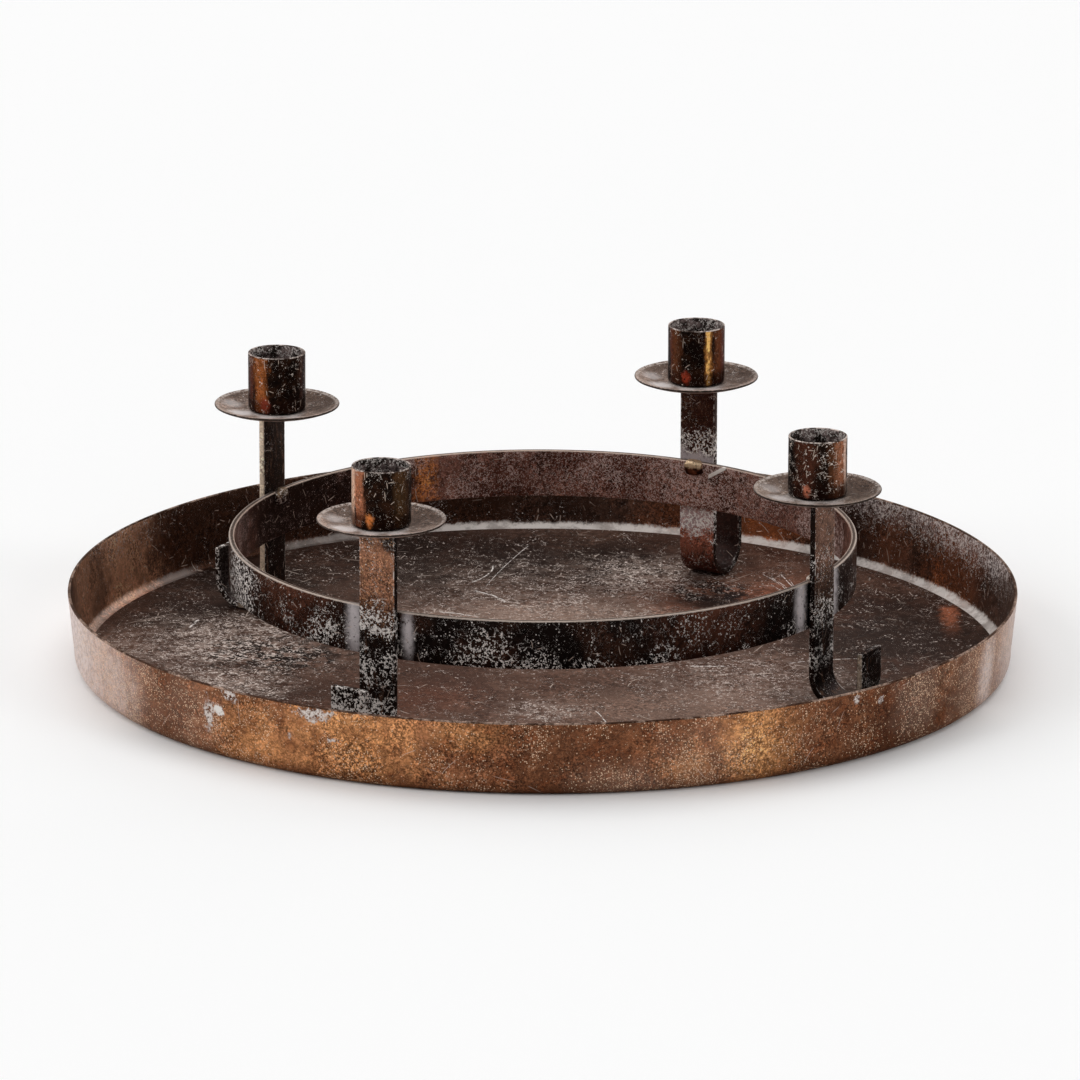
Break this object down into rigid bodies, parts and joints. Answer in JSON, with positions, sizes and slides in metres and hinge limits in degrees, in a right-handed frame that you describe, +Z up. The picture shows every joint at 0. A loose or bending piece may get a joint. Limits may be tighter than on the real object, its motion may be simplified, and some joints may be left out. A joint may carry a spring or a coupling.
{
  "type": "candle wreath",
  "caption": "Low round tray with a loose hoop frame of bent flat-bar arms, each carrying a drip plate and a cup for a slim candle.",
  "frame": {"origin": "centre of the tray's flat underside", "axes": "+Z up; -Y towards arm 1, +X towards arm 3"},
  "size_m": [0.4, 0.4, 0.1151],
  "materials": {
    "tray_copper": "antique copper over sheet iron, worn, with pale flecks",
    "frame_dark": "dark bronze over flat bar, pale worn edges and specks",
    "plate_grey": "satin grey bronze with a dark rim line",
    "cup_copper": "glossy antique copper, scratched"
  },
  "bodies": {
    "tray": {"tray": "tray_copper"},
    "candle_frame": {"ring": "frame_dark", "arm_1": "frame_dark", "weld_bead_1": "frame_dark", "drip_plate_1": "plate_grey", "candle_cup_1": "cup_copper", "arm_2": "frame_dark", "weld_bead_2": "frame_dark", "drip_plate_2": "plate_grey", "candle_cup_2": "cup_copper", "arm_3": "frame_dark", "weld_bead_3": "frame_dark", "drip_plate_3": "plate_grey", "candle_cup_3": "cup_copper", "arm_4": "frame_dark", "weld_bead_4": "frame_dark", "drip_plate_4": "plate_grey", "candle_cup_4": "cup_copper"}
  },
  "joints": [
    {"name": "candle_frame_lift", "type": "slide", "parent": "tray", "child": "candle_frame", "axis": [0, 0, 1], "range_m": [0, 0.06]}
  ]
}
